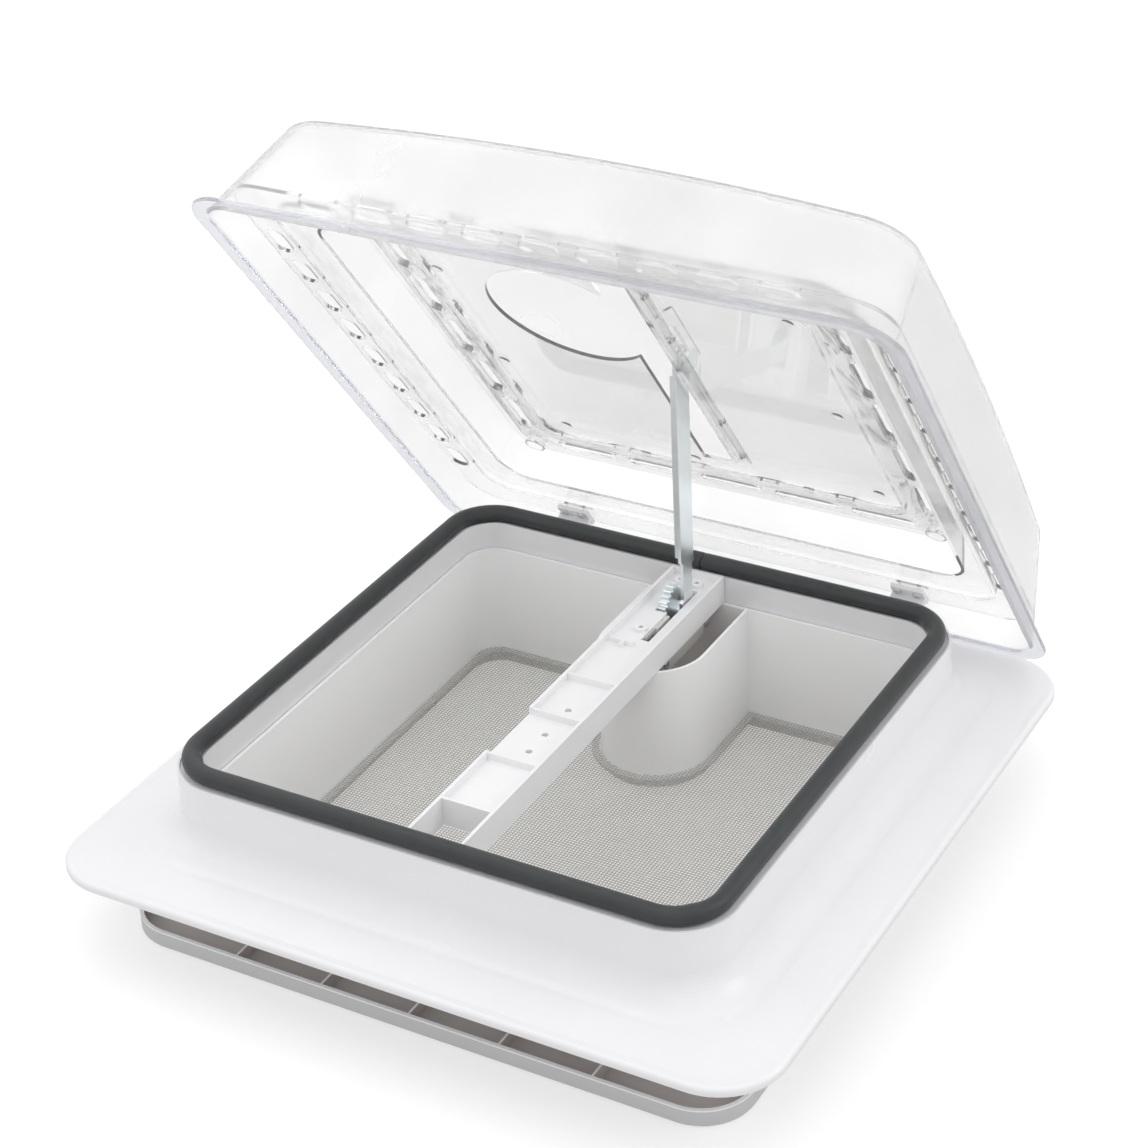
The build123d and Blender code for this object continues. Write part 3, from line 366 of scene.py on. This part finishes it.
def screenYarn(name, across):
    # glass fibre yarn in a vinyl coat: warm grey, with painted shade: darker where it dips under a crossing yarn,
    # paler where it rides over one
    material, tree, place = startMaterial(name)
    pitch = 2.3 * mm
    axes = addNode(tree, "ShaderNodeSeparateXYZ", links={0: place})
    phases = []
    for axis, shift in ((0, 0.5), (1, 0.5)):
        turned = addNode(tree, "ShaderNodeMath", {"operation": "MULTIPLY_ADD", 1: pi / pitch, 2: pi * shift},
                         {0: axes.outputs[axis]})
        phases.append(addNode(tree, "ShaderNodeMath", {"operation": "SINE"}, {0: turned.outputs[0]}))
    weave = addNode(tree, "ShaderNodeMath", {"operation": "MULTIPLY"},
                    {0: phases[0].outputs[0], 1: phases[1].outputs[0]})
    lift = addNode(tree, "ShaderNodeMapRange", {"From Min": -across, "From Max": across},
                   {"Value": weave.outputs[0]})
    dust = addNode(tree, "ShaderNodeTexNoise", {"Scale": 1 / (30 * mm), "Detail": 2.0}, {"Vector": place})
    # painted shade: the weave height mixes a shaded grey and a lit grey
    tone = addNode(tree, "ShaderNodeMix", {"data_type": "RGBA", 6: colour("#A9A6A0"), 7: colour("#D2D0CA")},
                   {0: lift.outputs[0]})
    worn = addNode(tree, "ShaderNodeMix",
                   {"data_type": "RGBA", "blend_type": "MULTIPLY", 7: colour("#F0EFEC")},
                   {0: dust.outputs[0], 6: tone.outputs[2]})
    bump = addNode(tree, "ShaderNodeBump", {"Strength": 0.5, "Distance": 0.1 * mm},
                   {"Height": lift.outputs[0]})
    shader = addNode(tree, "ShaderNodeBsdfPrincipled", {"Roughness": 0.55, "IOR": 1.5},
                     {"Base Color": worn.outputs[2], "Normal": bump.outputs[0]})
    finishMaterial(tree, shader.outputs[0])
    return material


epdmSponge = spongeRubber()
clearDome = clearSheet("clearCastAcrylic", "#EBEBEB", 0.24, 0.35, 0.84, 1.16, lip="#E6E7EC")
clearPanel = clearSheet("clearMouldedAcrylic", "#F8F8F8", 0.03, 0.3, 0.96, 1.3)
zincSteel = platedSteel("zincPlatedSteel", "#E6EDF0", "#F4F7F8", 0.32, (1.0, 1.0, 0.06))
screwSteel = platedSteel("nickelPlatedScrew", "#B9BABC", "#D6D6D7", 0.26, (1.0, 1.0, 1.0))
yarn = screenYarn("vinylCoatedYarn", 1.0)
print("materials made:", len(bpy.data.materials))

finishes = {
    "roof_frame": glossAsa, "interior_trim": satinAbs, "flyscreen_frame": beamAbs, "bridge_beam": beamAbs,
    "gearbox_housing": acetal, "gearbox_cover": acetal, "worm_bushes": acetal, "pivot_spacers": acetal,
    "beam_screws": screwSteel, "trim_screws": screwSteel, "gearbox_cover_screws": screwSteel,
    "gearbox_mount_screws": screwSteel, "panel_screws": screwSteel, "bracket_screws": screwSteel,
    "hinge_arm_screws": screwSteel, "crank_screw": screwSteel, "drive_worm": screwSteel, "hinge_pins": screwSteel,
    "pivot_pin": zincSteel, "stay_arm": zincSteel, "sector_gear": zincSteel, "track_pin": zincSteel,
    "dome_shell": clearDome, "lid_inner_frame": clearPanel, "inner_panel": clearPanel,
    "track_bracket": clearPanel, "hinge_arms": beamAbs, "crank_handle": crankPp, "crank_knob": crankPp,
    "rim_seal": epdmSponge, "flyscreen_mesh": yarn,
}
for nodeName, material in finishes.items():
    for holder in nodes[nodeName].material_slots:
        holder.material = material


screen = {"pitch": 2.3 * mm, "thread": 0.7 * mm, "thick": 0.46 * mm, "half": 171.0 * mm, "level": -43.75 * mm,
          "sides": 6}


def layThreads(turn, level):
    count = int(2 * screen["half"] / screen["pitch"])
    deselectAll()
    bpy.ops.mesh.primitive_cylinder_add(vertices=screen["sides"], radius=0.5, depth=2 * screen["half"],
                                        location=(0, -screen["pitch"] * (count - 1) / 2, 0),
                                        rotation=(0, pi / 2, 0))
    thread = bpy.context.object
    thread.scale = (screen["thick"], screen["thread"], 1)
    settle(thread)
    addModifier(thread, "ARRAY", count=count, use_relative_offset=False, use_constant_offset=True,
                constant_offset_displace=(0, screen["pitch"], 0))
    settle(thread)
    thread.data.transform(Matrix.Translation((0, 0, level)) @ Matrix.Rotation(turn, 4, "Z"))
    return thread


def weaveScreen():
    cutter = copyNode("flyscreen_mesh", "screenCutter")
    low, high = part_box("flyscreen_mesh")
    middle = (low[2] + high[2]) / 2
    cutter.data.transform(Matrix.Translation((0, 0, middle)) @ Matrix.Diagonal((1, 1, 20, 1))
                          @ Matrix.Translation((0, 0, -middle)))
    layers = []
    for turn, side in ((0, 0.45), (pi / 2, -0.45)):
        layer = layThreads(turn, screen["level"] + side * screen["thick"])
        addModifier(layer, "BOOLEAN", operation="INTERSECT", object=cutter, solver="EXACT")
        settle(layer)
        layers.append(layer)
    bpy.data.objects.remove(cutter)
    cloth = joinAll(layers, "flyscreenCloth")
    hand(cloth, "base", "screen_mesh", yarn, "flyscreen_mesh")
    side = 2 * 170.6 * mm
    print("flyscreen cloth:", len(cloth.data.polygons), "faces")


weaveScreen()


seal = {"half": 181.5 * mm, "corner": 30.0 * mm, "level": 61.1 * mm, "radius": 6.0 * mm, "joint": 0.5 * mm}


def rollSeal():
    deselectAll()
    bpy.ops.mesh.primitive_plane_add(size=2 * seal["half"], location=(0, 0, seal["level"]))
    ring = bpy.context.object
    settle(ring)
    editMesh(ring, "VERT")
    bpy.ops.mesh.select_all(action="SELECT")
    bpy.ops.mesh.bevel(offset=seal["corner"], offset_type="OFFSET", segments=14, affect="VERTICES")
    bpy.ops.mesh.select_all(action="SELECT")
    bpy.ops.mesh.delete(type="ONLY_FACE")
    endEdit()
    bpy.ops.object.convert(target="CURVE")
    ring.data.dimensions = "3D"
    ring.data.bevel_depth = seal["radius"]
    ring.data.bevel_resolution = 8
    bpy.ops.object.convert(target="MESH")
    ring = bpy.context.object
    # the two ends of the extrusion meet in the back run: a narrow dark seam round the bulb
    editMesh(ring, "VERT")
    for offset in (-0.9, -0.25, 0.25, 0.9):
        bpy.ops.mesh.select_all(action="SELECT")
        bpy.ops.mesh.bisect(plane_co=(seal["joint"] + offset * mm, 0, 0), plane_no=(1, 0, 0))
    def inSeam(v):
        return v.co.y > 0 and abs(v.co.x - seal["joint"]) < 0.3 * mm
    selectWhere(ring, inSeam, "vertices")
    bpy.ops.transform.resize(value=(1, 0.86, 0.86), center_override=(0, seal["half"], seal["level"]))
    # the sponge wrinkles a little on the inside of each corner
    endEdit()
    inner = seal["half"] - seal["corner"]
    for v in ring.data.vertices:
        x, y = abs(v.co.x) - inner, abs(v.co.y) - inner
        if x > 0 and y > 0:
            reach = (x * x + y * y) ** 0.5
            inward = max(0.0, (seal["corner"] - reach) / seal["radius"])
            fold = sin(min(x, y) / max(x, y) * pi / 2) ** 8
            v.co.x -= 0.9 * mm * inward * fold * (1 if v.co.x > 0 else -1)
            v.co.y -= 0.9 * mm * inward * fold * (1 if v.co.y > 0 else -1)
    ring.name = ring.data.name = "rimSeal"
    smooth(ring, 40)
    return hand(ring, "base", "seal_rubber", epdmSponge, "rim_seal")


rollSeal()
print("rim seal rolled")


# node, new piece, body, slot, material, edge radius in mm
easedParts = [
    ("bridge_beam", "bridgeBeam", "base", "white_trim", beamAbs, 0.45),
    ("interior_trim", "interiorTrim", "base", "white_trim", satinAbs, 0.35),
    ("flyscreen_frame", "flyscreenFrame", "base", "white_trim", beamAbs, 0.5),
    ("gearbox_housing", "gearboxHousing", "base", "drive_plastic", acetal, 0.4),
    ("gearbox_cover", "gearboxCover", "base", "drive_plastic", acetal, 0.4),
    ("hinge_arms", "hingeArms", "lid", "white_trim", beamAbs, 0.5),
    ("stay_arm", "stayArm", "stay", "zinc_steel", zincSteel, 0.4),
    ("sector_gear", "sectorGear", "stay", "zinc_steel", zincSteel, 0.2),
    ("track_pin", "trackPin", "stay", "zinc_steel", zincSteel, 0.4),
    ("crank_handle", "crankHandle", "crank", "grey_plastic", crankPp, 0.8),
    ("dome_shell", "domeShell", "lid", "clear_acrylic", clearDome, 0.9),
    ("lid_inner_frame", "lidInnerFrame", "lid", "clear_acrylic", clearPanel, 0.5),
    ("inner_panel", "innerPanel", "lid", "clear_acrylic", clearPanel, 0.5),
    ("track_bracket", "trackBracket", "lid", "clear_acrylic", clearPanel, 0.4),
]


def easeEdges(nodeName, name, body, slotName, material, radius):
    piece = copyNode(nodeName, name)
    editMesh(piece)
    bpy.ops.mesh.select_all(action="SELECT")
    bpy.ops.mesh.dissolve_limited(angle_limit=radians(0.4))
    endEdit()
    addModifier(piece, "BEVEL", width=radius * mm, segments=2, limit_method="ANGLE", angle_limit=radians(42))
    settle(piece)
    smooth(piece, 38)
    addModifier(piece, "WEIGHTED_NORMAL", keep_sharp=True, weight=60)
    settle(piece)
    return hand(piece, body, slotName, material, nodeName)


for row in easedParts:
    easeEdges(*row)
print("edges eased on", len(easedParts), "parts")


lidMarks = {"level": 92.7 * mm, "radius": 4.0 * mm, "proud": 0.35 * mm, "skin": 2.4 * mm,
            "bossSpot": 153.3 * mm, "bossRadius": 7.6 * mm, "bossWall": 1.3 * mm, "bossDepth": 5.4 * mm,
            "spots": ((118, -112), (118, 8), (118, 120), (62, -140), (62, 140), (-118, 120), (-62, 140),
                      (-132, -92), (-132, 30), (-20, 128))}


def markLid():  # ejector pin marks under the inner panel, and collars round its four corner screws
    parts = []
    for x, y in lidMarks["spots"]:
        deselectAll()
        bpy.ops.mesh.primitive_cylinder_add(vertices=32, radius=lidMarks["radius"],
                                            depth=2 * lidMarks["proud"],
                                            location=(x * mm, y * mm, lidMarks["level"]))
        disc = bpy.context.object
        settle(disc)
        addModifier(disc, "BEVEL", width=0.2 * mm, segments=2, limit_method="ANGLE")
        settle(disc)
        parts.append(disc)
    low = lidMarks["level"] - lidMarks["skin"]
    for x in (-1, 1):
        for y in (-1, 1):
            deselectAll()
            bpy.ops.mesh.primitive_cylinder_add(
                vertices=40, radius=lidMarks["bossRadius"], depth=lidMarks["bossDepth"],
                end_fill_type="NOTHING",
                location=(x * lidMarks["bossSpot"], y * lidMarks["bossSpot"],
                          low - lidMarks["bossDepth"] / 2))
            collar = bpy.context.object
            settle(collar)
            addModifier(collar, "SOLIDIFY", thickness=lidMarks["bossWall"], offset=-1)
            addModifier(collar, "BEVEL", width=0.35 * mm, segments=2, limit_method="ANGLE",
                        angle_limit=radians(50))
            settle(collar)
            parts.append(collar)
    marks = joinAll(parts, "lidMouldMarks")
    smooth(marks, 35)
    swingOpen(marks)
    return hand(marks, "lid", "clear_acrylic", clearPanel)


markLid()
print("lid marks made")


screws = {"recess": 0.62, "slotShare": 0.2, "core": 0.8, "pitchShare": 0.55, "steps": 12, "twist": 0.7}


def makeScrew(headRadius, headHeight, shankRadius, shankLength):  # head up, seat at the origin
    deselectAll()
    bpy.ops.mesh.primitive_cylinder_add(vertices=28, radius=headRadius, depth=headHeight,
                                        location=(0, 0, headHeight / 2))
    head = bpy.context.object
    settle(head)
    editMesh(head)
    selectWhere(head, lambda face: face.normal.z > 0.9)
    bpy.ops.mesh.bevel(offset=0.45 * headHeight, segments=4, affect="EDGES")
    endEdit()
    reach, width = screws["recess"] * headRadius, screws["slotShare"] * headRadius
    blades = []
    for turn in (0, pi / 2):
        deselectAll()
        bpy.ops.mesh.primitive_cube_add(size=1, location=(0, 0, headHeight), rotation=(0, 0, turn))
        blade = bpy.context.object
        blade.scale = (2 * reach, 2 * width, 1.1 * headHeight)
        settle(blade)
        selectWhere(blade, lambda v: v.co.z < headHeight * 0.9, "vertices")
        bpy.ops.transform.resize(value=(0.55, 0.55, 1), center_override=(0, 0, headHeight))
        endEdit()
        blades.append(blade)
    for blade in blades:
        addModifier(head, "BOOLEAN", operation="DIFFERENCE", object=blade, solver="EXACT")
        settle(head)
    for blade in blades:
        bpy.data.objects.remove(blade)
    deselectAll()
    core = screws["core"] * shankRadius
    bpy.ops.mesh.primitive_cylinder_add(vertices=14, radius=core, depth=shankLength + 0.2 * mm,
                                        location=(0, 0, -shankLength / 2 + 0.1 * mm))
    shank = bpy.context.object
    settle(shank)
    selectWhere(shank, lambda v: v.co.z < -shankLength * 0.9, "vertices")
    bpy.ops.transform.resize(value=(0.6, 0.6, 1), center_override=(0, 0, 0))
    endEdit()
    pitch = screws["pitchShare"] * shankRadius
    turns = max(1, int((shankLength - 1.6 * pitch) / pitch))
    deselectAll()
    bpy.ops.mesh.primitive_plane_add(size=1, rotation=(pi / 2, 0, 0))
    ridge = bpy.context.object
    ridge.scale = (shankRadius - core + 0.1 * mm, 0.7 * pitch, 1)
    ridge.location = ((shankRadius + core - 0.1 * mm) / 2, 0, -shankLength + 0.7 * pitch)
    settle(ridge)
    selectWhere(ridge, lambda v: v.co.x > shankRadius - 0.05 * mm, "vertices")
    bpy.ops.transform.resize(value=(1, 1, 0.15), center_override=(0, 0, -shankLength + 0.7 * pitch))
    endEdit()
    addModifier(ridge, "SCREW", angle=2 * pi, screw_offset=pitch, iterations=turns, steps=screws["steps"],
                render_steps=screws["steps"])
    settle(ridge)
    whole = joinAll([head, shank, ridge], "screw")
    smooth(whole, 35)
    return whole


def readScrews(nodeName, onLid):  # where each screw of a frame node stands, and its sizes
    piece = copyNode(nodeName, "screwGuide")
    if onLid:
        about = Vector((0, hinge["y"], hinge["z"]))
        piece.data.transform(Matrix.Translation(about) @ Matrix.Rotation(hinge["open"], 4, "X")
                             @ Matrix.Translation(-about))
    pick(piece)
    bpy.ops.mesh.separate(type="LOOSE")
    found = []
    for part in list(bpy.context.selected_objects):
        points = [v.co.copy() for v in part.data.vertices]
        low = Vector([min(p[i] for p in points) for i in range(3)])
        high = Vector([max(p[i] for p in points) for i in range(3)])
        size = high - low
        middle = (low + high) / 2
        spread = [abs(size[(i + 1) % 3] - size[(i + 2) % 3]) for i in range(3)]
        axis = spread.index(min(spread))
        others = [i for i in range(3) if i != axis]
        def away(p):
            return sum((p[i] - middle[i]) ** 2 for i in others) ** 0.5
        headRadius = max(away(p) for p in points)
        headPoints = [p[axis] for p in points if away(p) > 0.85 * headRadius]
        shankRadius = max(away(p) for p in points if 0.1 * headRadius < away(p) < 0.8 * headRadius)
        headLow, headHigh = min(headPoints), max(headPoints)
        up = 1 if high[axis] - headHigh < headLow - low[axis] else -1
        seat = headLow if up > 0 else headHigh
        length = seat - low[axis] if up > 0 else high[axis] - seat
        place = middle.copy()
        place[axis] = seat
        way = Vector((0, 0, 0))
        way[axis] = up
        found.append((place, way, headRadius, headHigh - headLow, shankRadius, length))
        bpy.data.objects.remove(part)
    return found


def dressScrews(nodeName, name, body):
    found = readScrews(nodeName, body == "lid")
    model = makeScrew(*found[0][2:])
    copies = []
    for i, row in enumerate(found):
        turn = row[1].to_track_quat("Z", "Y").to_matrix().to_4x4()
        twist = Matrix.Rotation(screws["twist"] * i, 4, "Z")  # each driven to its own angle
        copies.append(copyAt(model, Matrix.Translation(row[0]) @ turn @ twist))
    bpy.data.objects.remove(model)
    piece = joinAll(copies, name)
    if body == "lid":
        swingOpen(piece)
    return hand(piece, body, "screw_steel", screwSteel, nodeName)


for nodeName, name, body in (
        ("panel_screws", "panelScrews", "lid"), ("bracket_screws", "bracketScrews", "lid"),
        ("hinge_arm_screws", "hingeArmScrews", "lid"), ("trim_screws", "trimScrews", "base"),
        ("beam_screws", "beamScrews", "base"), ("gearbox_mount_screws", "gearboxMountScrews", "base"),
        ("gearbox_cover_screws", "gearboxCoverScrews", "base"), ("crank_screw", "crankScrew", "crank")):
    dressScrews(nodeName, name, body)
print("screws dressed")


worm = {"x": -3.0 * mm, "y": 117.45 * mm, "low": 30.4 * mm, "core": 4.9 * mm, "tip": 7.3 * mm,
        "lead": 3.927 * mm, "turns": 4, "foot": 1.0 * mm, "crest": 0.45 * mm}


def cutWorm():
    deselectAll()
    bpy.ops.mesh.primitive_plane_add(size=1, rotation=(pi / 2, 0, 0))
    tooth = bpy.context.object
    tooth.scale = (worm["tip"] - worm["core"], 2 * worm["foot"], 1)
    tooth.location = ((worm["tip"] + worm["core"]) / 2, 0, 0)
    settle(tooth)
    editMesh(tooth, "VERT")
    selectWhere(tooth, lambda v: v.co.x > worm["tip"] - 0.1 * mm, "vertices")
    bpy.ops.transform.resize(value=(1, 1, worm["crest"] / worm["foot"]), center_override=(worm["tip"], 0, 0))
    endEdit()
    addModifier(tooth, "SCREW", angle=2 * pi, screw_offset=worm["lead"], iterations=worm["turns"], steps=28,
                render_steps=28, use_merge_vertices=False)
    settle(tooth)
    editMesh(tooth, "VERT")
    bpy.ops.mesh.select_all(action="SELECT")
    bpy.ops.mesh.remove_doubles(threshold=0.00001)
    bpy.ops.mesh.select_all(action="DESELECT")
    bpy.ops.mesh.select_non_manifold()
    bpy.ops.mesh.fill_holes(sides=0)
    bpy.ops.mesh.select_all(action="SELECT")
    bpy.ops.mesh.normals_make_consistent(inside=False)
    endEdit()
    tooth.data.transform(Matrix.Translation((worm["x"], worm["y"], worm["low"])))
    tooth.name = tooth.data.name = "wormThread"
    smooth(tooth, 40)
    return hand(tooth, "crank", "screw_steel", screwSteel)


cutWorm()
print("worm thread cut")


studio = {"floorLevel": -56.2 * mm, "horizon": 0.76, "zenith": 1.27, "key": 1.3, "keySize": 0.75,
          "fill": 1.0, "rightFill": 4.0,
          "glow": 0.46, "bounce": 0.1}


def lightStudio():
    deselectAll()
    bpy.ops.mesh.primitive_circle_add(vertices=96, radius=14, fill_type="NGON",
                                      location=(0, 0, studio["floorLevel"]))
    floor = bpy.context.object
    floor.name = "studioFloor"
    paper, tree, place = startMaterial("lightTable")  # a lit white sheet, so only close shadows show
    diffuse = addNode(tree, "ShaderNodeBsdfDiffuse", {"Color": colour("#CACACA")})
    rays = addNode(tree, "ShaderNodeLightPath")
    seen = addNode(tree, "ShaderNodeMath", {"operation": "MAXIMUM"},
                   {0: rays.outputs["Is Camera Ray"], 1: rays.outputs["Is Transmission Ray"]})
    strength = addNode(tree, "ShaderNodeMapRange",
                       {"To Min": studio["bounce"], "To Max": studio["glow"]}, {"Value": seen.outputs[0]})
    glow = addNode(tree, "ShaderNodeEmission", {"Color": (1, 1, 1, 1)}, {"Strength": strength.outputs[0]})
    both = addNode(tree, "ShaderNodeAddShader", links={0: diffuse.outputs[0], 1: glow.outputs[0]})
    finishMaterial(tree, both.outputs[0])
    floor.data.materials.append(paper)
    world = bpy.data.worlds.new("studioWorld")
    bpy.context.scene.world = world
    world.use_nodes = True
    sky = world.node_tree  # a white tent, brighter overhead than at its skirts
    sky.nodes.clear()
    way = addNode(sky, "ShaderNodeTexCoord").outputs["Generated"]
    height = addNode(sky, "ShaderNodeSeparateXYZ", links={0: way})
    level = addNode(sky, "ShaderNodeMapRange", {"To Min": studio["horizon"], "To Max": studio["zenith"]},
                    {"Value": height.outputs[2]})
    tent = addNode(sky, "ShaderNodeBackground", {"Color": (1, 1, 1, 1)}, {"Strength": level.outputs[0]})
    addNode(sky, "ShaderNodeOutputWorld", links={"Surface": tent.outputs[0]})
    lamps = [("keyBox", (-0.44, 0.16, 0.885), 1.6, studio["keySize"], studio["key"]),
             ("sideBox", (-0.75, -0.55, 0.45), 2.0, 1.0, studio["fill"]),
             ("rightBox", (0.85, 0.3, 0.6), 2.0, 1.0, studio["rightFill"])]
    for name, way, distance, size, power in lamps:  # way to the lamp, metres, metres, watts
        data = bpy.data.lights.new(name, "AREA")
        data.shape, data.size, data.energy = "SQUARE", size, power
        lamp = bpy.data.objects.new(name, data)
        bpy.context.scene.collection.objects.link(lamp)
        way = Vector(way).normalized()
        lamp.location = way * distance
        lamp.rotation_euler = way.to_track_quat("Z", "Y").to_euler()
    bpy.context.scene.view_settings.view_transform = "Standard"


lightStudio()
